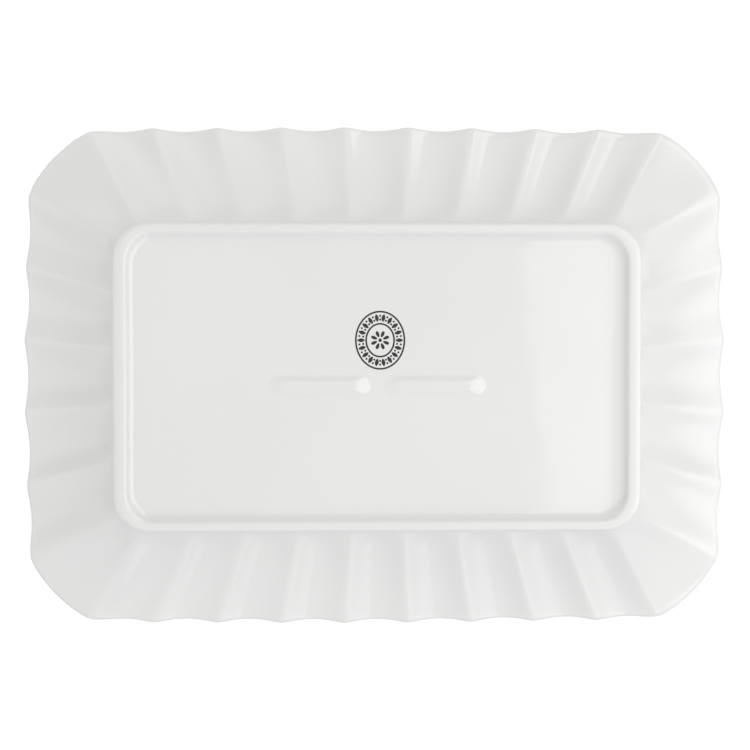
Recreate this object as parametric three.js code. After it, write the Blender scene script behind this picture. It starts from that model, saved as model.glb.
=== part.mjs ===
// An oblong fluted china serving platter with rounded-off corners, standing upright on its foot ring.
// Millimetres, +Z up, +X along the length; the origin is on the table under the platter's centre.
//
// One side of each level line is straight between two corner arcs, and is divided into flutes of equal pitch.
// Every section point is given by how far it lies outside the foot ring, and by its height.

import * as THREE from 'three';
import { ParametricGeometry } from 'three/addons/geometries/ParametricGeometry.js';

// Overall size
const LENGTH = 340;
const WIDTH = 240.6;
const HEIGHT = 27.2;

// Level line at the rim
const RIM_CORNER_RADIUS = 42.5;
const RIM_LONG_PITCH = 30.8;
const RIM_SHORT_PITCH = 35.3;
const RIM_LONG_BOW = 0.8;
const RIM_SHORT_BOW = 1.3;

// Level line at the foot ring's outer edge
const FOOT_LENGTH = 249;
const FOOT_WIDTH = 145;
const FOOT_CORNER_RADIUS = 16;
const FOOT_LONG_PITCH = 25;
const FOOT_SHORT_PITCH = 26.3;

// Flutes
const LONG_SIDE_FLUTES = 9;
const SHORT_SIDE_FLUTES = 5;
const STEPS_PER_FLUTE = 4;
const FOOT_RELIEF = 1.6;
const RIM_RELIEF = 1.95;
const FLOOR_SCOOP = 2;
const CORNER_FLUTE_SHARE = 0.85;

// Well and wall
const RECESS_DEPTH = 2.6;
const FLOOR_HEIGHT = 6.6;
const FLANGE_HEIGHT = 4.6;
const WALL_START_HEIGHT = 0.45;
const FOOT_SLOPE = 0.6;
const RIM_SLOPE = 0.39;
const FOOT_THICKNESS = 4.4;
const RIM_THICKNESS = 3.6;
const FILLET_END = 8;
const FACE_STEPS = 5;
const FILLET_STEPS = 3;

// Lip
const LIP_BASE_HEIGHT = 21.7;
const LIP_RADIUS = 1.75;
const LIP_SCOOP = 1.67;
const LIP_LIFT = 1.41;
const LIP_ARC_STEPS = 5;

// Support bars under the well
const BAR_LENGTH = 48;
const BAR_WIDTH = 6.8;
const BAR_HEIGHT = 1.5;
const BAR_GAP = 7;
const BAR_Y = 3.9;
const BAR_END_STEPS = 6;

// Backstamp, a printed oval device under the well
const STAMP_X = 1;
const STAMP_Y = -17.6;
const STAMP_WIDTH = 23.9;
const STAMP_LENGTH = 28;
const STAMP_INNER_WIDTH = 14.1;
const STAMP_INNER_LENGTH = 16.4;
const STAMP_LINE = 0.7;
const PRINT_THICKNESS = 0.12;
const OVAL_STEPS = 20;
const BEAD_COUNT = 24;
const BEAD_RADIUS = 0.75;
const STEPS_PER_BEAD = 4;
const ROSETTE_RADIUS = 4.2;
const ROSETTE_PETALS = 8;
const ROSETTE_PETAL_DEPTH = 0.28;
const ROSETTE_STEPS = 48;

const FLUTE_COUNT = 2 * (LONG_SIDE_FLUTES + SHORT_SIDE_FLUTES + 2);
const STATIONS = FLUTE_COUNT * STEPS_PER_FLUTE;
const WALL_RUN = (LENGTH - FOOT_LENGTH) / 2;

const porcelain = { color: 0xf0efea, roughness: 0.12, metalness: 0 };
const stampInk = { color: 0x1b211d, roughness: 0.3, metalness: 0 };

// The two kinds of side of the level line that lies `out` outside the foot ring's outer edge.
function levelLine(out) {
  const share = out / WALL_RUN;
  const between = (foot, rim) => THREE.MathUtils.lerp(foot, rim, share);
  const radius = between(FOOT_CORNER_RADIUS, RIM_CORNER_RADIUS);
  const short = {
    reach: between(FOOT_LENGTH, LENGTH) / 2,
    bow: between(0, RIM_SHORT_BOW),
    pitch: between(FOOT_SHORT_PITCH, RIM_SHORT_PITCH),
    flutes: SHORT_SIDE_FLUTES,
    radius,
  };
  const long = {
    reach: between(FOOT_WIDTH, WIDTH) / 2,
    bow: between(0, RIM_LONG_BOW),
    pitch: between(FOOT_LONG_PITCH, RIM_LONG_PITCH),
    flutes: LONG_SIDE_FLUTES,
    radius,
  };
  short.straight = long.reach - long.bow - radius;
  long.straight = short.reach - short.bow - radius;
  return [short, long];
}

// The direction that a side faces, as an angle from its own normal, at a distance along it.
function facingAt(side, along) {
  const past = Math.abs(along) - side.straight;
  return past > 0 ? Math.sign(along) * Math.asin(past / side.radius) : 0;
}

// A point of a side, seen with the side ahead: x is straight out and y is along it.
function sidePoint(side, along, facing) {
  if (facing === 0) {
    const sag = (side.bow * (1 - Math.cos((Math.PI * along) / side.straight))) / 2;
    return new THREE.Vector2(side.reach - sag, along);
  }
  return cornerPoint(side, facing);
}

function cornerPoint(side, facing) {
  const centre = new THREE.Vector2(side.reach - side.bow - side.radius, Math.sign(facing) * side.straight);
  return centre.add(new THREE.Vector2(side.radius, 0).rotateAround(new THREE.Vector2(), facing));
}

// The plan position of a section point at a share of the way round, starting at the +X side's first ridge.
function planPoint(around, out, scoop) {
  const sides = levelLine(out);
  let flute = around * FLUTE_COUNT;
  let quarter = 0;
  while (flute >= sides[quarter % 2].flutes + 1) {
    flute -= sides[quarter % 2].flutes + 1;
    quarter += 1;
  }
  const side = sides[quarter % 2];
  const next = sides[(quarter + 1) % 2];
  const onCorner = flute >= side.flutes;
  let facing;
  let point;
  if (onCorner) {
    const start = facingAt(side, (side.flutes / 2) * side.pitch);
    const end = Math.PI / 2 - facingAt(next, (next.flutes / 2) * next.pitch);
    facing = THREE.MathUtils.lerp(start, end, flute - side.flutes);
    point = cornerPoint(side, facing);
  } else {
    const along = (flute - side.flutes / 2) * side.pitch;
    facing = facingAt(side, along);
    point = sidePoint(side, along, facing);
  }
  const depth = hollow(around) * scoop * (onCorner ? CORNER_FLUTE_SHARE : 1);
  const inward = new THREE.Vector2(-depth, 0).rotateAround(new THREE.Vector2(), facing);
  return point.add(inward).rotateAround(new THREE.Vector2(), (quarter * Math.PI) / 2);
}

// 0 on a ridge, rising to 1 in the middle of each flute.
function hollow(around) {
  const across = (around * FLUTE_COUNT) % 1;
  return 1 - (2 * across - 1) ** 2;
}

// A section swept once round the platter. A section that isn't closed starts and ends on the centre line.
function sweptRound(section, closed) {
  const steps = closed ? section.length : section.length - 1;
  const place = (around, along, target) => {
    const station = Math.round(around * STATIONS) % STATIONS;
    const point = section[Math.round(along * steps) % section.length];
    if (point.onCentreLine) {
      target.set(0, 0, point.height);
      return;
    }
    const turn = station / STATIONS;
    const plan = planPoint(turn, point.out, point.scoop);
    target.set(plan.x, plan.y, point.height + point.lift * hollow(turn));
  };
  return new ParametricGeometry(place, STATIONS, steps);
}

function sectionPoint(out, height, scoop = 0, lift = 0) {
  return { out, height, scoop, lift };
}

function centrePoint(height) {
  return { onCentreLine: true, height };
}

// A face of the wall: its height rises with `out` from a start point, and its slope changes evenly.
function wallFace(start, startSlope, runOut, endSlope) {
  const flatten = (startSlope - endSlope) / (2 * (runOut - start.x));
  const slope = (out) => startSlope - 2 * flatten * (out - start.x);
  return {
    slope,
    height: (out) => start.y + startSlope * (out - start.x) - flatten * (out - start.x) ** 2,
    out: (height) => {
      const root = Math.sqrt(startSlope ** 2 - 4 * flatten * (height - start.y));
      return start.x + (startSlope - root) / (2 * flatten);
    },
  };
}

const outerFace = wallFace(new THREE.Vector2(0, WALL_START_HEIGHT), FOOT_SLOPE, WALL_RUN, RIM_SLOPE);

function throughThickness(out, thickness) {
  const slope = outerFace.slope(out);
  const length = Math.hypot(1, slope);
  return new THREE.Vector2(out - (thickness * slope) / length, outerFace.height(out) + thickness / length);
}

// The inner face starts where the floor's fillet ends, and rises to a rim's thickness inside the outer face.
const innerStart = throughThickness(FILLET_END, FOOT_THICKNESS);
const innerEnd = throughThickness(outerFace.out(LIP_BASE_HEIGHT) - 2 * RIM_THICKNESS, RIM_THICKNESS);
const innerStartSlope = outerFace.slope(FILLET_END);
const innerMeanSlope = (innerEnd.y - innerStart.y) / (innerEnd.x - innerStart.x);
const innerFace = wallFace(innerStart, innerStartSlope, innerEnd.x, 2 * innerMeanSlope - innerStartSlope);

// How far a flute shifts a wall face sideways, for a relief measured square to the face.
function scoopOn(face, out) {
  const relief = THREE.MathUtils.lerp(FOOT_RELIEF, RIM_RELIEF, out / WALL_RUN);
  return relief / Math.sin(Math.atan(face.slope(out)));
}

function facePoint(face, height) {
  const out = face.out(height);
  return sectionPoint(out, height, scoopOn(face, out));
}

// Points up a face between two heights, both included.
function facePoints(face, low, high) {
  const points = [];
  for (let step = 0; step <= FACE_STEPS; step += 1) {
    points.push(facePoint(face, THREE.MathUtils.lerp(low, high, step / FACE_STEPS)));
  }
  return points;
}

// The fillet between the floor and the wall, which starts level with the floor.
const filletCorner = new THREE.Vector2(innerFace.out(FLOOR_HEIGHT), FLOOR_HEIGHT);
const filletStart = filletCorner.clone().setX(filletCorner.x - filletCorner.distanceTo(innerStart));

// Points up the fillet from the floor, without the last one.
function filletPoints() {
  const fillet = new THREE.QuadraticBezierCurve(filletStart, filletCorner, innerStart);
  const endScoop = scoopOn(innerFace, innerStart.x);
  const points = [];
  for (let step = 0; step < FILLET_STEPS; step += 1) {
    const share = step / FILLET_STEPS;
    const spot = fillet.getPoint(share);
    points.push(sectionPoint(spot.x, spot.y, THREE.MathUtils.lerp(FLOOR_SCOOP, endScoop, share)));
  }
  return points;
}

// The flat base between the foot ring and the well. Its edge is stepped: the wall stands on the lower step.
function wellFloor() {
  const edge = [RECESS_DEPTH, (RECESS_DEPTH + FLANGE_HEIGHT) / 2, FLANGE_HEIGHT];
  const section = [centrePoint(RECESS_DEPTH), ...edge.map((height) => facePoint(outerFace, height))];
  section[1].scoop = 0;
  section.push(sectionPoint(filletStart.x, FLANGE_HEIGHT, FLOOR_SCOOP));
  section.push(sectionPoint(filletStart.x, FLOOR_HEIGHT, FLOOR_SCOOP));
  section.push(centrePoint(FLOOR_HEIGHT));
  return sweptRound(section, false);
}

function flutedWall() {
  const outside = facePoints(outerFace, FLANGE_HEIGHT, LIP_BASE_HEIGHT);
  const inside = facePoints(innerFace, innerStart.y, LIP_BASE_HEIGHT);
  const seat = sectionPoint(filletStart.x, FLANGE_HEIGHT, FLOOR_SCOOP);
  return sweptRound([...outside, ...inside.reverse(), ...filletPoints().reverse(), seat], true);
}

function rimLip() {
  const centre = new THREE.Vector2(WALL_RUN - LIP_RADIUS, HEIGHT - LIP_LIFT - LIP_RADIUS);
  const tilt = Math.atan(RIM_SLOPE);
  const outsideBase = facePoint(outerFace, LIP_BASE_HEIGHT);
  const insideBase = facePoint(innerFace, LIP_BASE_HEIGHT);
  const section = [outsideBase];
  for (let step = 0; step <= LIP_ARC_STEPS; step += 1) {
    const angle = tilt - Math.PI / 2 + (Math.PI * step) / LIP_ARC_STEPS;
    const out = centre.x + LIP_RADIUS * Math.cos(angle);
    const height = centre.y + LIP_RADIUS * Math.sin(angle);
    section.push(sectionPoint(out, height, LIP_SCOOP, LIP_LIFT));
  }
  const last = section[section.length - 1];
  const middleOut = (last.out + insideBase.out) / 2;
  const middleHeight = (last.height + insideBase.height) / 2;
  section.push(sectionPoint(middleOut, middleHeight, (LIP_SCOOP + insideBase.scoop) / 2, LIP_LIFT / 2));
  section.push(insideBase);
  return sweptRound(section, true);
}

// The raised bead that the platter stands on: a narrow flat tread between a chamfer and a rounded shoulder.
function footRing() {
  const outline = [
    [outerFace.out(RECESS_DEPTH), RECESS_DEPTH],
    [-9, RECESS_DEPTH],
    [-8.1, 2.15],
    [-5.2, 0.45],
    [-4.4, 0],
    [-2.2, 0],
    [-0.9, 0.15],
    [0.1, 0.5],
    [1.1, 1.1],
  ];
  return sweptRound(outline.map(([out, height]) => sectionPoint(out, height)), true);
}

// A soft-shouldered bar hanging under the well: a round-ended outline that shrinks as it goes down.
function supportBar() {
  const half = (BAR_LENGTH - BAR_WIDTH) / 2;
  const stations = 2 * (BAR_END_STEPS + 1);
  const section = [
    [0, 0],
    [1, 0],
    [0.8, 0.45],
    [0.55, 0.85],
    [0.3, 1],
    [0, 1],
  ];
  const place = (around, along, target) => {
    const station = Math.round(around * stations) % stations;
    const [width, drop] = section[Math.round(along * (section.length - 1))];
    const end = station <= BAR_END_STEPS ? 1 : -1;
    const onEnd = end > 0 ? station : station - BAR_END_STEPS - 1;
    const angle = Math.PI * (onEnd / BAR_END_STEPS - 0.5);
    const radius = (width * BAR_WIDTH) / 2;
    target.set(end * (half + radius * Math.cos(angle)), end * radius * Math.sin(angle), drop * BAR_HEIGHT);
  };
  return new ParametricGeometry(place, stations, section.length - 1);
}

// A flat shape given the thickness of the print.
function printed(shape) {
  return new THREE.ExtrudeGeometry(shape, {
    depth: PRINT_THICKNESS,
    bevelEnabled: false,
    curveSegments: OVAL_STEPS,
  });
}

// An oval line of the backstamp.
function ovalLine(width, length) {
  const shape = new THREE.Shape().absellipse(0, 0, width / 2, length / 2, 0, 2 * Math.PI);
  const inside = new THREE.Path();
  inside.absellipse(0, 0, width / 2 - STAMP_LINE, length / 2 - STAMP_LINE, 0, 2 * Math.PI);
  shape.holes.push(inside);
  return printed(shape);
}

// The row of beads, joined by a fine line, that runs round between the two ovals.
function beadBand() {
  const halfWidth = (STAMP_WIDTH + STAMP_INNER_WIDTH) / 4;
  const halfLength = (STAMP_LENGTH + STAMP_INNER_LENGTH) / 4;
  const steps = BEAD_COUNT * STEPS_PER_BEAD;
  const edge = (side) => {
    const points = [];
    for (let step = 0; step < steps; step += 1) {
      const angle = (2 * Math.PI * step) / steps;
      const swell = (1 + Math.cos(BEAD_COUNT * angle)) / 2;
      const offset = side * THREE.MathUtils.lerp(STAMP_LINE / 4, BEAD_RADIUS, swell);
      const point = new THREE.Vector2(halfWidth + offset, halfLength + offset);
      points.push(point.multiply(new THREE.Vector2(Math.cos(angle), Math.sin(angle))));
    }
    return points;
  };
  const shape = new THREE.Shape(edge(1));
  shape.holes.push(new THREE.Path(edge(-1)));
  return printed(shape);
}

// A plain petalled rosette in the middle of the backstamp.
function rosette() {
  const outline = [];
  for (let step = 0; step < ROSETTE_STEPS; step += 1) {
    const angle = (2 * Math.PI * step) / ROSETTE_STEPS;
    const radius = ROSETTE_RADIUS * (1 - ROSETTE_PETAL_DEPTH * (1 - Math.cos(ROSETTE_PETALS * angle)) / 2);
    outline.push(new THREE.Vector2(radius * Math.cos(angle), radius * Math.sin(angle)));
  }
  return printed(new THREE.Shape(outline));
}

const platter = new THREE.Group();

function addPiece(name, geometry, finish, x = 0, y = 0, z = 0) {
  const piece = new THREE.Mesh(geometry, new THREE.MeshStandardMaterial(finish));
  piece.name = name;
  piece.position.set(x, y, z);
  platter.add(piece);
  return piece;
}

addPiece('well_floor', wellFloor(), porcelain);
addPiece('fluted_wall', flutedWall(), porcelain);
addPiece('rim_lip', rimLip(), porcelain);
addPiece('foot_ring', footRing(), porcelain);

const barOffset = (BAR_GAP + BAR_LENGTH) / 2;
const barLeft = addPiece('support_bar_left', supportBar(), porcelain, -barOffset, BAR_Y, RECESS_DEPTH);
const barRight = addPiece('support_bar_right', supportBar(), porcelain, barOffset, BAR_Y, RECESS_DEPTH);
barLeft.rotation.x = Math.PI;
barRight.rotation.x = Math.PI;

const printHeight = RECESS_DEPTH - PRINT_THICKNESS;
const outerOval = ovalLine(STAMP_WIDTH, STAMP_LENGTH);
const innerOval = ovalLine(STAMP_INNER_WIDTH, STAMP_INNER_LENGTH);
addPiece('backstamp_outer_line', outerOval, stampInk, STAMP_X, STAMP_Y, printHeight);
addPiece('backstamp_inner_line', innerOval, stampInk, STAMP_X, STAMP_Y, printHeight);
addPiece('backstamp_bead_band', beadBand(), stampInk, STAMP_X, STAMP_Y, printHeight);
addPiece('backstamp_rosette', rosette(), stampInk, STAMP_X, STAMP_Y, printHeight);

export default platter;
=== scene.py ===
# An oblong fluted china serving platter, standing on its foot ring.
# Metres, +Z up, +X along the length, in the frame of the CAD nodes.

import math

import bmesh
import bpy
from mathutils import Matrix, Vector


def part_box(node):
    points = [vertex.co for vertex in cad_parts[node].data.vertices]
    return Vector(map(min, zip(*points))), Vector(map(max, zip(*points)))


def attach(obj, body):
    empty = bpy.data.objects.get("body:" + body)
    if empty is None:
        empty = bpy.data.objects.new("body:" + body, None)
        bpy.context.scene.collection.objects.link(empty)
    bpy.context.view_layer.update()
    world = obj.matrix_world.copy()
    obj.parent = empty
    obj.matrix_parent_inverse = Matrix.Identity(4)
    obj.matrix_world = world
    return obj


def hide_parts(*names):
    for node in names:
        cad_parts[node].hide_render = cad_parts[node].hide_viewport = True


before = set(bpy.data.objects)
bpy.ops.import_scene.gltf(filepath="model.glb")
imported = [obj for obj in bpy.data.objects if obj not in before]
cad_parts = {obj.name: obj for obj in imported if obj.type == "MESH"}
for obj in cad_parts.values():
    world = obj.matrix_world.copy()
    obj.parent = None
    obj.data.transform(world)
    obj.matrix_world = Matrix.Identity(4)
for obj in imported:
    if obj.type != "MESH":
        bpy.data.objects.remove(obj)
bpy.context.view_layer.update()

MM = 0.001

# ------------------------------------------------------------------ Porcelain body
# The platter is one casting of white hard porcelain: a flat well, a fluted flaring wall, a rounded wavy lip
# and a foot ring. It is cast between two plaster moulds, trimmed, dipped in clear glaze and fired on its
# foot.

# Where the stations of one flute lie between its two ridges, close together near the ridges
FLUTE_STEPS = (
    0, 0.014, 0.032, 0.058, 0.1, 0.17, 0.26, 0.37, 0.5, 0.63, 0.74, 0.83, 0.9, 0.942, 0.968, 0.986,
)
LONG_FLUTES = 9
SHORT_FLUTES = 5
FLUTE_COUNT = 2 * (LONG_FLUTES + SHORT_FLUTES + 2)
STATIONS = FLUTE_COUNT * len(FLUTE_STEPS)
CORNER_FLUTE_SHARE = 0.85
RIDGE_SHARPNESS = 8
GROOVE_SHARPNESS = 8
# How far the box of the foot ring reaches past the line that the wall starts from
FOOT_BOX_MARGIN = 3.67 * MM

floor_low, floor_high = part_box("well_floor")
foot_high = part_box("foot_ring")[1]
rim_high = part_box("rim_lip")[1]

base_height = floor_low.z
well_height = floor_high.z
rim_height = rim_high.z
foot_reach = Vector((foot_high.x - FOOT_BOX_MARGIN, foot_high.y - FOOT_BOX_MARGIN))
rim_reach = Vector((rim_high.x, rim_high.y))
wall_run = rim_reach.x - foot_reach.x

# Corner radius, flute pitches and the bow of the sides, at the foot ring and at the rim
foot_line = {
    "radius": 16 * MM,
    "long_pitch": 25 * MM,
    "short_pitch": 26.3 * MM,
    "long_bow": 0,
    "short_bow": 0,
}
rim_line = {
    "radius": 42.5 * MM,
    "long_pitch": 30.8 * MM,
    "short_pitch": 35.3 * MM,
    "long_bow": 0.8 * MM,
    "short_bow": 1.3 * MM,
}


def level_line(out):
    share = out / wall_run
    line = {key: foot_line[key] + share * (rim_line[key] - foot_line[key]) for key in foot_line}
    reach = foot_reach + share * (rim_reach - foot_reach)
    short = {"reach": reach.x, "bow": line["short_bow"], "pitch": line["short_pitch"], "flutes": SHORT_FLUTES}
    long = {"reach": reach.y, "bow": line["long_bow"], "pitch": line["long_pitch"], "flutes": LONG_FLUTES}
    short["straight"] = long["reach"] - long["bow"] - line["radius"]
    long["straight"] = short["reach"] - short["bow"] - line["radius"]
    short["radius"] = line["radius"]
    long["radius"] = line["radius"]
    return short, long


def facing_at(side, along):
    past = abs(along) - side["straight"]
    return math.copysign(math.asin(past / side["radius"]), along) if past > 0 else 0.0


def corner_point(side, facing):
    ahead = side["reach"] - side["bow"] - side["radius"] * (1 - math.cos(facing))
    along = math.copysign(side["straight"], facing) + side["radius"] * math.sin(facing)
    return Vector((ahead, along))


def turned(vector, angle):
    return Vector((
        vector.x * math.cos(angle) - vector.y * math.sin(angle),
        vector.x * math.sin(angle) + vector.y * math.cos(angle),
    ))


def plan_spot(station, out):
    """A station's place on a level line, the way it faces, how far it is from mid-flute, and its depth."""
    sides = level_line(out)
    flute, step = divmod(station, len(FLUTE_STEPS))
    across = FLUTE_STEPS[step]
    quarter = 0
    while flute >= sides[quarter % 2]["flutes"] + 1:
        flute -= sides[quarter % 2]["flutes"] + 1
        quarter += 1
    side = sides[quarter % 2]
    following = sides[(quarter + 1) % 2]
    share = 1.0
    if flute == side["flutes"]:
        start = facing_at(side, side["flutes"] / 2 * side["pitch"])
        end = math.pi / 2 - facing_at(following, following["flutes"] / 2 * following["pitch"])
        facing = start + across * (end - start)
        spot = corner_point(side, facing)
        share = CORNER_FLUTE_SHARE
    else:
        along = (flute + across - side["flutes"] / 2) * side["pitch"]
        facing = facing_at(side, along)
        if facing:
            spot = corner_point(side, facing)
        else:
            sag = side["bow"] * (1 - math.cos(math.pi * along / side["straight"])) / 2
            spot = Vector((side["reach"] - sag, along))
    turn = quarter * math.pi / 2
    return turned(spot, turn), facing + turn, abs(2 * across - 1), share


def hollow(across, sharpness):
    """0 on a ridge and 1 in the middle of a flute, with the ridge rounded off."""
    rounding = 2 / sharpness
    return (1 - across ** 2 + rounding * (across ** sharpness - 1)) / (1 - rounding)


# The wall's outer face along a ridge: its height and slope at a distance outside the foot ring
WALL_START_HEIGHT = 0.45 * MM
FOOT_SLOPE = 0.6
RIM_SLOPE = 0.39
FOOT_THICKNESS = 4.4 * MM
RIM_THICKNESS = 3.6 * MM
FOOT_RELIEF = 1.6 * MM
RIM_RELIEF = 1.95 * MM
LIP_RADIUS = 1.75 * MM
LIP_SCOOP = 1.67 * MM
LIP_LIFT = 1.41 * MM
# The flutes fade in over this distance in millimetres outside the foot ring
FLUTE_FADE = 7


def outer_slope(out):
    return FOOT_SLOPE + (RIM_SLOPE - FOOT_SLOPE) * out / wall_run


def outer_height(out):
    return WALL_START_HEIGHT + (FOOT_SLOPE + outer_slope(out)) / 2 * out


def relief(out):
    return FOOT_RELIEF + (RIM_RELIEF - FOOT_RELIEF) * out / wall_run


def section_point(out, height, scoop=0.0, lift=0.0, inside=False, pool=0.0):
    """A point of the section: how its flutes shift it, and how thickly the glaze pools on it."""
    return {
        "out": out,
        "height": height,
        "long_out": out,
        "long_height": height,
        "scoop": scoop,
        "lift": lift,
        "inside": inside,
        "pool": pool,
    }


def wall_point(out, inside, pool=0.0):
    angle = math.atan(outer_slope(out))
    thickness = FOOT_THICKNESS + (RIM_THICKNESS - FOOT_THICKNESS) * out / wall_run if inside else 0
    return section_point(
        out - thickness * math.sin(angle),
        outer_height(out) + thickness * math.cos(angle),
        relief(out) * math.sin(angle),
        relief(out) * math.cos(angle),
        inside,
        pool,
    )


# Foot ring section in millimetres from the recessed base outwards: a hollow chamfer, a narrow tread and a
# shoulder, which is broad and soft across the ends and tight along the sides. Each row is out and height
# across the ends, out and height along the sides, and the pooling of the glaze.
FOOT_SECTION = (
    (-9.1, 2.6, -7.9, 2.6, 0.3),
    (-8.4, 2.56, -7.2, 2.56, 0.6),
    (-7.7, 2.4, -6.6, 2.4, 0.5),
    (-7.05, 2.06, -6.0, 2.06, 0.2),
    (-6.45, 1.58, -5.35, 1.6, 0.0),
    (-5.9, 1.02, -4.7, 1.02, 0.0),
    (-5.35, 0.52, -4.15, 0.52, 0.0),
    (-5.0, 0.24, -3.75, 0.24, 0.0),
    (-4.6, 0.06, -3.35, 0.06, 0.0),
    (-4.2, 0.0, -2.9, 0.0, 0.0),
    (-3.2, 0.0, -1.8, 0.0, 0.0),
    (-2.3, 0.0, -0.8, 0.0, 0.0),
    (-1.6, 0.04, -0.35, 0.06, 0.0),
    (-0.9, 0.14, 0.0, 0.2, 0.0),
    (-0.2, 0.32, 0.25, 0.45, 0.0),
    (0.5, 0.6, 0.44, 0.76, 0.4),
    (1.1, 0.92, 0.62, 1.04, 1.0),
)
WALL_OUTS = (1.9, 2.8, 4, 5.5, 7.5, 10, 13, 16, 19, 22, 25, 28, 31, 34, 37, 39.5, 41.5, 43.2)
WALL_POOLS = (0.9, 0.5, 0.2) + (0.0,) * 15

section = []
for out, height, long_out, long_height, pool in FOOT_SECTION:
    point = section_point(out * MM, height * MM, pool=pool)
    point["long_out"] = long_out * MM
    point["long_height"] = long_height * MM
    section.append(point)
for out, pool in zip(WALL_OUTS, WALL_POOLS):
    point = wall_point(out * MM, False, pool)
    start_share = min(1, out / FLUTE_FADE)
    point["scoop"] *= start_share
    point["lift"] *= start_share
    section.append(point)

LIP_ANGLES = (-64, -48, -30, -12, 8, 28, 48, 68, 88, 104)
lip_out = wall_run - LIP_RADIUS
lip_height = rim_height - LIP_LIFT - LIP_RADIUS
for degrees in LIP_ANGLES:
    angle = math.radians(degrees)
    section.append(section_point(
        lip_out + LIP_RADIUS * math.cos(angle),
        lip_height + LIP_RADIUS * math.sin(angle),
        LIP_SCOOP,
        LIP_LIFT,
        degrees > 60,
    ))
INNER_WALL_OUTS = (42.5, 40, 37, 34, 30, 26, 22, 18, 14, 11, 8)
for out in INNER_WALL_OUTS:
    section.append(wall_point(out * MM, True))

# The fillet between the wall and the floor of the well
FILLET_SHARES = (0.84, 0.68, 0.52, 0.36, 0.18, 0.0)
fillet_end = section[-1]
end = Vector((fillet_end["out"], fillet_end["height"]))
corner = Vector((end.x - (end.y - well_height) / outer_slope(INNER_WALL_OUTS[-1] * MM), well_height))
start = Vector((corner.x - (end - corner).length, well_height))
for share in FILLET_SHARES:
    spot = start.lerp(corner, share).lerp(corner.lerp(end, share), share)
    scoop = fillet_end["scoop"] + 1.2 * MM * (1 - share)
    section.append(section_point(spot.x, spot.y, scoop, fillet_end["lift"] * share, True, 0.7 * (1 - share)))
section.append(section_point(start.x - 1.5 * MM, well_height, 1.4 * MM, inside=True, pool=0.5))
section.append(section_point(start.x - 5 * MM, well_height, inside=True))

BASE_RINGS = (0.03, 0.2, 0.4, 0.6, 0.8, 0.93)
loops = [(section[0], share, base_height) for share in BASE_RINGS]
loops += [(point, 1, None) for point in section]
loops += [(section[-1], share, well_height) for share in reversed(BASE_RINGS)]


def place_loop(piece, number_of_loop, place):
    """Moves the selected loop of vertices, each to the place of its own station."""
    mesh = bmesh.from_edit_mesh(piece.data)
    station = mesh.verts.layers.int["station"]
    loop = mesh.verts.layers.int["loop"]
    for vertex in mesh.verts:
        if vertex.select:
            vertex.co = place(vertex[station])
            vertex[loop] = number_of_loop
    bmesh.update_edit_mesh(piece.data)


def body_place(point, share, height):
    def place(station):
        endways = math.cos(plan_spot(station, 0)[1]) ** 2
        out = point["long_out"] + endways * (point["out"] - point["long_out"])
        rise = point["long_height"] + endways * (point["height"] - point["long_height"])
        spot, facing, across, flute_share = plan_spot(station, out)
        depth = hollow(across, GROOVE_SHARPNESS if point["inside"] else RIDGE_SHARPNESS) * flute_share
        spot -= depth * point["scoop"] * Vector((math.cos(facing), math.sin(facing)))
        if height is None:
            return Vector((spot.x, spot.y, rise + depth * point["lift"]))
        return Vector((spot.x * share, spot.y * share, height))

    return place


bpy.ops.object.select_all(action="DESELECT")
bpy.ops.mesh.primitive_circle_add(vertices=STATIONS, radius=foot_reach.y, fill_type="NOTHING")
body = bpy.context.object
body.name = "porcelain_body"
body.data.attributes.new("station", "INT", "POINT").data.foreach_set("value", range(STATIONS))
body.data.attributes.new("loop", "INT", "POINT")

bpy.ops.object.mode_set(mode="EDIT")
bpy.ops.mesh.select_all(action="SELECT")
for order, (point, share, height) in enumerate(loops):
    if order:
        bpy.ops.mesh.extrude_region_move()
    place_loop(body, order, body_place(point, share, height))
bpy.ops.mesh.extrude_region_move()
bpy.ops.mesh.merge(type="CENTER")
bpy.ops.mesh.select_all(action="DESELECT")
mesh = bmesh.from_edit_mesh(body.data)
for vertex in mesh.verts:
    vertex.select = vertex.is_boundary
mesh.select_flush_mode()
bmesh.update_edit_mesh(body.data)
bpy.ops.mesh.extrude_region_move()
bpy.ops.mesh.merge(type="CENTER")
bpy.ops.mesh.select_all(action="SELECT")
bpy.ops.mesh.remove_doubles(threshold=0.00001)
bpy.ops.mesh.normals_make_consistent(inside=False)
bpy.ops.object.mode_set(mode="OBJECT")
bpy.ops.object.shade_smooth()

# How thickly the glaze lies, kept on the mesh: it pools in the corners and runs off the lip
pool = body.data.attributes.new("pool", "FLOAT", "POINT")
loop_of = body.data.attributes["loop"].data
for number, value in enumerate(pool.data):
    point, share, height = loops[loop_of[number].value]
    value.value = point["pool"] if height is None else 0.0

# Object coordinates in metres: a slow waviness from the mould, a fine orange peel from the glaze
glaze = bpy.data.materials.new("clear_glaze_on_white_porcelain")
glaze.use_nodes = True
nodes = glaze.node_tree.nodes
links = glaze.node_tree.links
surface = nodes["Principled BSDF"]
surface.inputs["IOR"].default_value = 1.5
where = nodes.new("ShaderNodeTexCoord")


def noise(scale, detail, roughness=0.5):
    texture = nodes.new("ShaderNodeTexNoise")
    texture.inputs["Scale"].default_value = scale
    texture.inputs["Detail"].default_value = detail
    texture.inputs["Roughness"].default_value = roughness
    links.new(where.outputs["Object"], texture.inputs["Vector"])
    return texture.outputs["Fac"]


def arithmetic(operation, first, second=None, third=None):
    node = nodes.new("ShaderNodeMath")
    node.operation = operation
    for socket, value in zip(node.inputs, (first, second, third)):
        if isinstance(value, (int, float)):
            socket.default_value = value
        elif value is not None:
            links.new(value, socket)
    return node.outputs[0]


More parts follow.
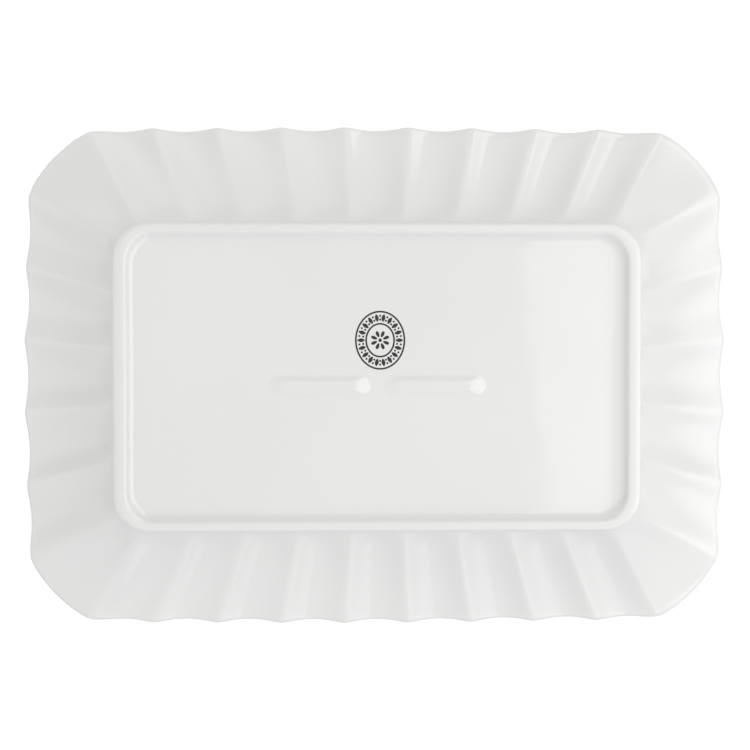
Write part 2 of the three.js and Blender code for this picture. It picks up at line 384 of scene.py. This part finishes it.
def between(value, low, high, start=0.0, end=1.0, smooth=True):
    """start where the value is at or under low, end where it is at or over high."""
    node = nodes.new("ShaderNodeMapRange")
    node.interpolation_type = "SMOOTHSTEP" if smooth else "LINEAR"
    links.new(value, node.inputs["Value"])
    for name, number in (("From Min", low), ("From Max", high), ("To Min", start), ("To Max", end)):
        node.inputs[name].default_value = number
    return node.outputs["Result"]


def mixed(factor, first, second):
    node = nodes.new("ShaderNodeMix")
    node.data_type = "RGBA"
    links.new(factor, node.inputs["Factor"])
    for name, colour in (("A", first), ("B", second)):
        socket = [item for item in node.inputs if item.name == name and item.type == "RGBA"][0]
        if isinstance(colour, tuple):
            socket.default_value = (*colour, 1)
        else:
            links.new(colour, socket)
    return [item for item in node.outputs if item.type == "RGBA"][0]


CLEAN_WHITE = (0.858, 0.857, 0.85)
COOL_WHITE = (0.843, 0.843, 0.838)
POOLED_WHITE = (0.78, 0.79, 0.782)
BARE_BODY = (0.842, 0.838, 0.828)
SPECK_BROWN = (0.35, 0.3, 0.24)

axes = nodes.new("ShaderNodeSeparateXYZ")
links.new(where.outputs["Object"], axes.inputs[0])
pooled = nodes.new("ShaderNodeAttribute")
pooled.attribute_name = "pool"
specks = nodes.new("ShaderNodeTexVoronoi")
specks.inputs["Scale"].default_value = 55
links.new(where.outputs["Object"], specks.inputs["Vector"])
speck_axes = nodes.new("ShaderNodeSeparateColor")
links.new(specks.outputs["Color"], speck_axes.inputs[0])
chosen = between(speck_axes.outputs["Red"], 0.955, 0.96)
near = between(specks.outputs["Distance"], 0.012, 0.022, 1.0, 0.0)
speck = arithmetic("MULTIPLY", chosen, near)
tread_edge = between(noise(420, 3), 0.3, 0.7, -0.00005, 0.00005)
bare = between(arithmetic("ADD", axes.outputs["Z"], tread_edge), 0.00008, 0.00022, 1.0, 0.0)

colour = mixed(between(noise(9, 3), 0.35, 0.65), CLEAN_WHITE, COOL_WHITE)
colour = mixed(arithmetic("MULTIPLY", pooled.outputs["Fac"], 0.45), colour, POOLED_WHITE)
colour = mixed(arithmetic("MULTIPLY", speck, 0.7), colour, SPECK_BROWN)
colour = mixed(bare, colour, BARE_BODY)
links.new(colour, surface.inputs["Base Color"])

gloss = between(noise(30, 4), 0.3, 0.7, 0.025, 0.05)
bare_gloss = arithmetic("MULTIPLY", bare, 0.3)
links.new(arithmetic("ADD", gloss, bare_gloss), surface.inputs["Roughness"])

waves = arithmetic("MULTIPLY", noise(24, 1), 0.045 * MM)
ripples = arithmetic("MULTIPLY", noise(110, 2), 0.006 * MM)
peel = arithmetic("MULTIPLY", noise(260, 2), 0.0012 * MM)
grit = arithmetic("MULTIPLY", arithmetic("MULTIPLY", noise(2600, 2), bare), 0.02 * MM)
pits = arithmetic("MULTIPLY", speck, -0.03 * MM)
rough = arithmetic("ADD", peel, arithmetic("ADD", grit, pits))
height = arithmetic("ADD", arithmetic("ADD", waves, ripples), rough)
bump = nodes.new("ShaderNodeBump")
bump.inputs["Strength"].default_value = 1
bump.inputs["Distance"].default_value = 1
links.new(height, bump.inputs["Height"])
links.new(bump.outputs["Normal"], surface.inputs["Normal"])

body.data.materials.append(glaze)
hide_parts("well_floor", "fluted_wall", "rim_lip", "foot_ring")
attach(body, "root")

# ------------------------------------------------------------------ Support bars
# Two soft bars of the same casting under the well. They keep the flat base from sagging onto the kiln shelf,
# and the glaze rounds them into the base, so their edges fade out.

BAR_SIDE_STATIONS = 24
BAR_END_STATIONS = 20
BAR_HEIGHT = 0.85 * MM
BAR_SKIRT = 1.5 * MM
BAR_SIDE_SLOPE = 3.4 * MM
BAR_END_SLOPE = 8 * MM
# How far up the slope each loop lies, and the share of the height that it has reached
BAR_PROFILE = (
    (0.0, 0.0), (0.1, 0.02), (0.22, 0.1), (0.34, 0.25), (0.46, 0.44), (0.58, 0.64), (0.7, 0.81), (0.82, 0.93),
    (0.92, 0.985), (1.0, 1.0),
)


def bar_place(low, high, slope, drop):
    middle = (low + high) / 2
    half_width = (high.y - low.y) / 2 + BAR_SKIRT - slope * BAR_SIDE_SLOPE
    half_length = (high.x - low.x) / 2 + BAR_SKIRT / 2 - slope * BAR_END_SLOPE
    half_straight = half_length - half_width
    stations = 2 * (BAR_SIDE_STATIONS + BAR_END_STATIONS)

    def place(station):
        half, step = divmod(station, stations // 2)
        if step < BAR_END_STATIONS:
            angle = math.pi * (step / BAR_END_STATIONS - 0.5)
            spot = Vector((half_straight + half_width * math.cos(angle), half_width * math.sin(angle)))
        else:
            along = (step - BAR_END_STATIONS) / BAR_SIDE_STATIONS
            spot = Vector((half_straight * (1 - 2 * along), half_width))
        spot = turned(spot, math.pi * half)
        return Vector((middle.x + spot.x, middle.y + spot.y, base_height - drop * BAR_HEIGHT + 0.01 * MM))

    return place


for name in ("support_bar_left", "support_bar_right"):
    low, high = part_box(name)
    bpy.ops.object.select_all(action="DESELECT")
    count = 2 * (BAR_SIDE_STATIONS + BAR_END_STATIONS)
    bpy.ops.mesh.primitive_circle_add(vertices=count, radius=high.x - low.x, fill_type="NGON")
    bar = bpy.context.object
    bar.name = name.replace("support_bar", "glazed_bar")
    bar.data.attributes.new("station", "INT", "POINT").data.foreach_set("value", range(count))
    bar.data.attributes.new("loop", "INT", "POINT")
    bpy.ops.object.mode_set(mode="EDIT")
    bpy.ops.mesh.select_all(action="SELECT")
    for order, (slope, drop) in enumerate(BAR_PROFILE):
        if order:
            bpy.ops.mesh.extrude_region_move()
        place_loop(bar, order, bar_place(low, high, slope, drop))
    bpy.ops.mesh.select_all(action="SELECT")
    bpy.ops.mesh.normals_make_consistent(inside=False)
    bpy.ops.object.mode_set(mode="OBJECT")
    bpy.ops.object.shade_smooth()
    bar.data.attributes.new("pool", "FLOAT", "POINT")
    bar.data.materials.append(glaze)
    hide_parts(name)
    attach(bar, "root")

# ------------------------------------------------------------------ Backstamp
# A dark green-black transfer print fired under the glaze: two oval lines, a border of leaves and beads
# between them, and a petalled rosette in the middle.

ink = bpy.data.materials.new("fired_transfer_ink")
ink.use_nodes = True
nodes = ink.node_tree.nodes
links = ink.node_tree.links
surface = nodes["Principled BSDF"]
surface.inputs["IOR"].default_value = 1.5
where = nodes.new("ShaderNodeTexCoord")
INK_DARK = (0.006, 0.010, 0.009)
INK_THIN = (0.030, 0.040, 0.036)
links.new(mixed(between(noise(900, 4, 0.7), 0.45, 0.75), INK_DARK, INK_THIN), surface.inputs["Base Color"])
links.new(between(noise(500, 3), 0.3, 0.7, 0.12, 0.24), surface.inputs["Roughness"])
bump = nodes.new("ShaderNodeBump")
bump.inputs["Strength"].default_value = 1
bump.inputs["Distance"].default_value = 1
links.new(arithmetic("MULTIPLY", noise(1500, 3), 0.002 * MM), bump.inputs["Height"])
links.new(bump.outputs["Normal"], surface.inputs["Normal"])

PRINT_DEPTH = 0.04 * MM
PRINT_ROOT = 0.02 * MM
LINE_WIDTH = 0.8 * MM


def flat_print(name, outlines, centre):
    """Prints a flat shape: each outline is filled, given the thickness of the print and set on the base."""
    printed = None
    for outline in outlines:
        bpy.ops.object.select_all(action="DESELECT")
        bpy.ops.mesh.primitive_circle_add(vertices=len(outline), radius=1 * MM, fill_type="NGON")
        mark = bpy.context.object
        for vertex, spot in zip(mark.data.vertices, outline):
            vertex.co = (centre.x + spot[0], centre.y + spot[1], base_height + PRINT_ROOT)
        bpy.ops.object.mode_set(mode="EDIT")
        bpy.ops.mesh.select_all(action="SELECT")
        bpy.ops.mesh.extrude_region_move(TRANSFORM_OT_translate={"value": (0, 0, -PRINT_ROOT - PRINT_DEPTH)})
        bpy.ops.mesh.select_all(action="SELECT")
        bpy.ops.mesh.normals_make_consistent(inside=False)
        bpy.ops.object.mode_set(mode="OBJECT")
        if printed is None:
            printed = mark
            printed.name = name
        else:
            printed.select_set(True)
            bpy.context.view_layer.objects.active = printed
            bpy.ops.object.join()
    return printed


def oval_line(name, low, high):
    """A thin raised line round an oval, drawn as a closed strip."""
    centre = (low + high) / 2
    half = Vector(((high.x - low.x) / 2, (high.y - low.y) / 2))
    stations = 96
    edges = (
        (0, PRINT_ROOT),
        (0, -PRINT_DEPTH),
        (-LINE_WIDTH, -PRINT_DEPTH),
        (-LINE_WIDTH, PRINT_ROOT),
        (0, PRINT_ROOT),
    )
    bpy.ops.object.select_all(action="DESELECT")
    bpy.ops.mesh.primitive_circle_add(vertices=stations, radius=half.x, fill_type="NOTHING")
    line = bpy.context.object
    line.name = name
    line.data.attributes.new("station", "INT", "POINT").data.foreach_set("value", range(stations))
    line.data.attributes.new("loop", "INT", "POINT")
    bpy.ops.object.mode_set(mode="EDIT")
    bpy.ops.mesh.select_all(action="SELECT")
    for order, (inset, rise) in enumerate(edges):
        if order:
            bpy.ops.mesh.extrude_region_move()

        def place(station):
            angle = 2 * math.pi * station / stations
            return Vector((
                centre.x + (half.x + inset) * math.cos(angle),
                centre.y + (half.y + inset) * math.sin(angle),
                base_height + rise,
            ))

        place_loop(line, order, place)
    bpy.ops.mesh.select_all(action="SELECT")
    bpy.ops.mesh.remove_doubles(threshold=0.000001)
    bpy.ops.mesh.normals_make_consistent(inside=False)
    bpy.ops.object.mode_set(mode="OBJECT")
    return line


def finish_print(piece, node):
    piece.data.materials.append(ink)
    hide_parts(node)
    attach(piece, "root")


outer_low, outer_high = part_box("backstamp_outer_line")
inner_low, inner_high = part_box("backstamp_inner_line")
stamp_centre = (outer_low + outer_high) / 2
finish_print(oval_line("printed_outer_line", outer_low, outer_high), "backstamp_outer_line")
finish_print(oval_line("printed_inner_line", inner_low, inner_high), "backstamp_inner_line")

# Leaves and pairs of beads by turns, each square to the oval that runs midway between the two lines
LEAF_COUNT = 18
LEAF_LENGTH = 3.6 * MM
LEAF_WIDTH = 1.9 * MM
BEAD_RADIUS = 0.5 * MM
BEAD_SHIFT = 0.9 * MM


def round_dot(centre_along, radius, corners):
    steps = [2 * math.pi * turn / corners for turn in range(corners)]
    return [Vector((centre_along + radius * math.cos(step), radius * math.sin(step))) for step in steps]


middle_x = (outer_high.x - outer_low.x + inner_high.x - inner_low.x) / 4 - LINE_WIDTH / 2
middle_y = (outer_high.y - outer_low.y + inner_high.y - inner_low.y) / 4 - LINE_WIDTH / 2
marks = []
for number in range(2 * LEAF_COUNT):
    angle = math.pi * number / LEAF_COUNT
    spot = Vector((middle_x * math.cos(angle), middle_y * math.sin(angle)))
    facing = math.atan2(math.sin(angle) * middle_x, math.cos(angle) * middle_y)
    if number % 2:
        for along in (-BEAD_SHIFT, BEAD_SHIFT):
            shape = round_dot(along, BEAD_RADIUS, 12)
            marks.append([spot + turned(corner, facing) for corner in shape])
    else:
        shape = []
        for turn in range(16):
            swing = turn * math.pi / 8
            width = LEAF_WIDTH / 2 * math.sin(swing) * (1 - 0.35 * abs(math.cos(swing)))
            shape.append(Vector((LEAF_LENGTH / 2 * math.cos(swing), width)))
        marks.append([spot + turned(corner, facing) for corner in shape])
finish_print(flat_print("printed_leaf_border", marks, stamp_centre), "backstamp_bead_band")

# Eight separate petals round a bead
PETAL_COUNT = 8
PETAL_REACH = 4.6 * MM
PETAL_FOOT = 1.5 * MM
PETAL_WIDTH = 1.9 * MM
ROSETTE_BEAD_RADIUS = 0.85 * MM
petals = []
for number in range(PETAL_COUNT):
    facing = 2 * math.pi * (number + 0.5) / PETAL_COUNT
    shape = []
    for turn in range(16):
        swing = turn * math.pi / 8
        ahead = (PETAL_REACH + PETAL_FOOT) / 2 + (PETAL_REACH - PETAL_FOOT) / 2 * math.cos(swing)
        shape.append(Vector((ahead, PETAL_WIDTH / 2 * math.sin(swing) * (0.8 + 0.2 * math.cos(swing)))))
    petals.append([turned(corner, facing) for corner in shape])
petals.append(round_dot(0, ROSETTE_BEAD_RADIUS, 20))
finish_print(flat_print("printed_rosette", petals, stamp_centre), "backstamp_rosette")

# ------------------------------------------------------------------ Floor
# A one-sided pale table top that the platter stands on. It takes the platter's shadow, and it neither blocks
# nor bounces light, so the platter is lit alike whichever side of the table it is looked at from.

TABLE_LIGHT = (0.68, 0.675, 0.66)
TABLE_DARK = (0.66, 0.655, 0.64)
TABLE_SIZE = 8
TABLE_DROP = 0.1 * MM

bpy.ops.object.select_all(action="DESELECT")
bpy.ops.mesh.primitive_plane_add(size=TABLE_SIZE, location=(0, 0, -TABLE_DROP))
table = bpy.context.object
table.name = "pale_table"
table.visible_shadow = False
table.visible_diffuse = False
table.visible_glossy = False
cloth = bpy.data.materials.new("pale_table_top")
cloth.use_nodes = True
nodes = cloth.node_tree.nodes
links = cloth.node_tree.links
surface = nodes["Principled BSDF"]
where = nodes.new("ShaderNodeTexCoord")
links.new(mixed(between(noise(1.5, 3), 0.35, 0.65), TABLE_LIGHT, TABLE_DARK), surface.inputs["Base Color"])
surface.inputs["Roughness"].default_value = 0.8
surface.inputs["Specular IOR Level"].default_value = 0.2
geometry = nodes.new("ShaderNodeNewGeometry")
clear = nodes.new("ShaderNodeBsdfTransparent")
choice = nodes.new("ShaderNodeMixShader")
links.new(geometry.outputs["Backfacing"], choice.inputs[0])
links.new(surface.outputs[0], choice.inputs[1])
links.new(clear.outputs[0], choice.inputs[2])
links.new(choice.outputs[0], nodes["Material Output"].inputs["Surface"])
table.data.materials.append(cloth)

# ------------------------------------------------------------------ Studio light
# A white tent below with an upright softbox towards +X for the underside, and a soft room above for the well.
# Levels are strengths of the world light, and gains are what reflections alone see on top of them.

bpy.context.scene.view_settings.view_transform = "Standard"
world = bpy.data.worlds.new("studio")
bpy.context.scene.world = world
world.use_nodes = True
nodes = world.node_tree.nodes
links = world.node_tree.links
background = nodes["Background"]
where = nodes.new("ShaderNodeTexCoord")
axes = nodes.new("ShaderNodeSeparateXYZ")
links.new(where.outputs["Generated"], axes.inputs[0])
ray = nodes.new("ShaderNodeLightPath")

BELOW_LEVEL = 0.876
BELOW_TOWARDS_X = 0.12
BELOW_TOWARDS_Y = 0.09
ABOVE_LEVEL = 0.68
ABOVE_TOWARDS_X = 0.12
ABOVE_TOWARDS_Y = -0.18
SOFTBOX_GAIN = 1.9
CARD_GAIN = 0.3
SHADE_GAIN = -0.6
HORIZON_GAIN = -0.7
BACKDROP_LEVEL = 0.36
BACKDROP_WHITE = 1.06
SOFTBOX_EDGE = 0.11
SOFTBOX_LEAN = -0.1
SOFTBOX_SLANT = 0.56
WARM_LIGHT = (1.0, 0.997, 0.97)
COOL_LIGHT = (0.992, 0.994, 1.0)

below = arithmetic("MULTIPLY_ADD", axes.outputs["X"], BELOW_TOWARDS_X, BELOW_LEVEL)
below = arithmetic("MULTIPLY_ADD", axes.outputs["Y"], BELOW_TOWARDS_Y, below)
above = arithmetic("MULTIPLY_ADD", axes.outputs["X"], ABOVE_TOWARDS_X, ABOVE_LEVEL)
above = arithmetic("MULTIPLY_ADD", axes.outputs["Y"], ABOVE_TOWARDS_Y, above)
over = between(axes.outputs["Z"], -0.08, 0.12)
light = arithmetic("ADD", arithmetic("MULTIPLY", above, over),
                   arithmetic("MULTIPLY", below, arithmetic("SUBTRACT", 1.0, over)))

# Reflections alone see the upright softbox beside the lens, a card far to -X and the darker room at the ends
ahead = arithmetic("MAXIMUM", arithmetic("MULTIPLY", axes.outputs["Z"], -1.0), 0.05)
sideways = arithmetic("DIVIDE", axes.outputs["X"], ahead)
endways = arithmetic("DIVIDE", axes.outputs["Y"], ahead)
edge = arithmetic("MULTIPLY_ADD", endways, SOFTBOX_LEAN, sideways)
slant = arithmetic("MINIMUM", arithmetic("ADD", endways, 0.15), 0.0)
edge = arithmetic("MULTIPLY_ADD", slant, SOFTBOX_SLANT, edge)
sharp_edge = between(edge, SOFTBOX_EDGE - 0.0035, SOFTBOX_EDGE + 0.002)
box = arithmetic("MULTIPLY", sharp_edge, between(sideways, 1.5, 2.4, 1.0, 0.0))
brighter = between(edge, SOFTBOX_EDGE, 0.18, 0.75 * SOFTBOX_GAIN, 1.1 * SOFTBOX_GAIN)
box = arithmetic("MULTIPLY", box, brighter)
box = arithmetic("MULTIPLY", box, between(endways, 0.3, 1.3, 1.0, 0.3))
box = arithmetic("MULTIPLY", box, between(endways, -2.0, -1.4, 0.3, 1.0))
diagonal = arithmetic("MINIMUM", arithmetic("ABSOLUTE", sideways), arithmetic("ABSOLUTE", endways))
box = arithmetic("MULTIPLY", box, between(diagonal, 0.55, 0.85, 1.0, 0.0))
card = arithmetic("MULTIPLY", between(sideways, -1.2, -0.6, 1.0, 0.0), CARD_GAIN)
far_shade = between(endways, -1.2, -0.9, 0.0, SHADE_GAIN)
shade = arithmetic("MULTIPLY", between(endways, -0.4, -0.1, 1.0, 0.0), far_shade)
shade = arithmetic("ADD", shade, between(endways, 0.1, 0.45, 0.0, 0.4 * SHADE_GAIN))
horizon = between(axes.outputs["Z"], -0.62, -0.42, 0.0, HORIZON_GAIN)
shine = arithmetic("ADD", arithmetic("ADD", arithmetic("ADD", box, card), shade), horizon)
shine = arithmetic("MULTIPLY", shine, ray.outputs["Is Glossy Ray"])
shine = arithmetic("MULTIPLY", shine, arithmetic("SUBTRACT", 1.0, over))
light = arithmetic("ADD", light, shine)
light = arithmetic("MULTIPLY", light, arithmetic("SUBTRACT", 1.0, ray.outputs["Is Camera Ray"]))
backdrop = between(axes.outputs["Z"], 0.0, 0.6, BACKDROP_LEVEL, BACKDROP_WHITE)
light = arithmetic("ADD", light, arithmetic("MULTIPLY", backdrop, ray.outputs["Is Camera Ray"]))
towards_cool = arithmetic("ADD", arithmetic("ABSOLUTE", axes.outputs["X"]), axes.outputs["Y"])
cool = between(towards_cool, -0.1, 0.6)
links.new(mixed(cool, WARM_LIGHT, COOL_LIGHT), background.inputs["Color"])
links.new(light, background.inputs["Strength"])

side_data = bpy.data.lights.new("side_softbox", "AREA")
side_data.size = 0.5
side_data.energy = 1.0
side = bpy.data.objects.new("side_softbox", side_data)
bpy.context.collection.objects.link(side)
side.location = (0.72, 0.05, -0.45)
side.rotation_euler = (-side.location).to_track_quat("-Z", "Y").to_euler()
side.visible_glossy = False
side.visible_camera = False

# Name, size across and up, energy and place: the key that throws the shadows, and two dim softboxes behind
# and in front of the platter that the glaze of the food side reflects
TOP_LIGHTS = (
    ("key_softbox", 0.9, 0.6, 9.0, (-1.0, -0.75, 0.8)),
    ("back_softbox", 0.5, 0.26, 0.3, (-1.3, 1.08, 0.72)),
    ("front_softbox", 0.5, 0.16, 0.075, (1.12, -1.1, 0.4)),
)
for name, across, up, energy, place in TOP_LIGHTS:
    data = bpy.data.lights.new(name, "AREA")
    data.shape = "RECTANGLE"
    data.size = across
    data.size_y = up
    data.energy = energy
    softbox = bpy.data.objects.new(name, data)
    bpy.context.collection.objects.link(softbox)
    softbox.location = place
    softbox.rotation_euler = (-softbox.location).to_track_quat("-Z", "Y").to_euler()

# ------------------------------------------------------------------ Camera
# It looks up at the underside, a little from the -X and the -Y side of the middle, with -Y at the top.

CAMERA_DISTANCE = 1.033
CAMERA_LEAN_X = math.radians(2.2)
CAMERA_LEAN_Y = math.radians(1.8)
AIM_X = -0.5 * MM
AIM_Y = -0.3 * MM
VIEW_WIDTH = 0.365

camera_data = bpy.data.cameras.new("camera")
camera_data.sensor_width = 36
target = Vector((AIM_X, AIM_Y, rim_height))
back = Vector((-math.tan(CAMERA_LEAN_X), -math.tan(CAMERA_LEAN_Y), -1)).normalized()
right = Vector((0, -1, 0)).cross(back).normalized()
camera_reach = CAMERA_DISTANCE + rim_height
camera_data.lens = camera_data.sensor_width * camera_reach / VIEW_WIDTH
camera = bpy.data.objects.new("camera", camera_data)
bpy.context.collection.objects.link(camera)
camera.location = target + back * camera_reach
camera.rotation_euler = Matrix((right, back.cross(right), back)).transposed().to_euler()
bpy.context.scene.camera = camera
